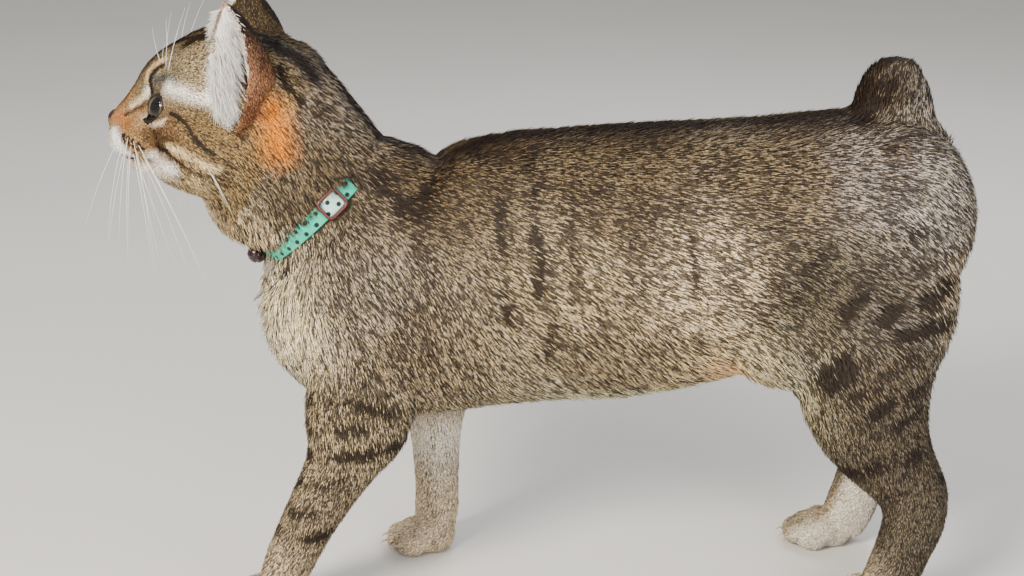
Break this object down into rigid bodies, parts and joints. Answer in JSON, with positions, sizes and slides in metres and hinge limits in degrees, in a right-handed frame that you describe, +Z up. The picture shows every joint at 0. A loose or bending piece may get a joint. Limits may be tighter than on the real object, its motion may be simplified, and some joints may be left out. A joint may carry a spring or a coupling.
{
  "type": "manx cat",
  "caption": "Life-size still model of a standing short-haired tabby cat with a rounded stump of tail, its head raised, wearing a narrow collar with a slider and a bell.",
  "frame": {"origin": "on the floor under the middle of the animal's length and width", "axes": "+Z up, the cat faces -Y, its left side is +X"},
  "size_m": [0.1423, 0.4953, 0.3642],
  "materials": {
    "tabby_coat": "short dense ticked fur",
    "dark_coat": "short dense dark fur",
    "pale_coat": "short dense pale fur",
    "eye": "clear wet cornea over a grey-green iris",
    "webbing": "woven webbing with small dark dots",
    "coloured_metal": "red-brown enamel, gloss"
  },
  "bodies": {
    "root": {"head": "tabby_coat", "ear_left": "tabby_coat", "ear_right": "tabby_coat", "eye_left": "eye", "eye_right": "eye", "neck": "tabby_coat", "torso": "tabby_coat", "tail_stump": "dark_coat", "foreleg_left": "tabby_coat", "foreleg_right": "tabby_coat", "forepaw_left": "pale_coat", "forepaw_right": "pale_coat", "thigh_left": "tabby_coat", "thigh_right": "tabby_coat", "shank_left": "tabby_coat", "shank_right": "tabby_coat", "hindpaw_left": "pale_coat", "hindpaw_right": "pale_coat", "collar": "webbing", "collar_slider": "coloured_metal", "bell": "coloured_metal"}
  },
  "joints": []
}
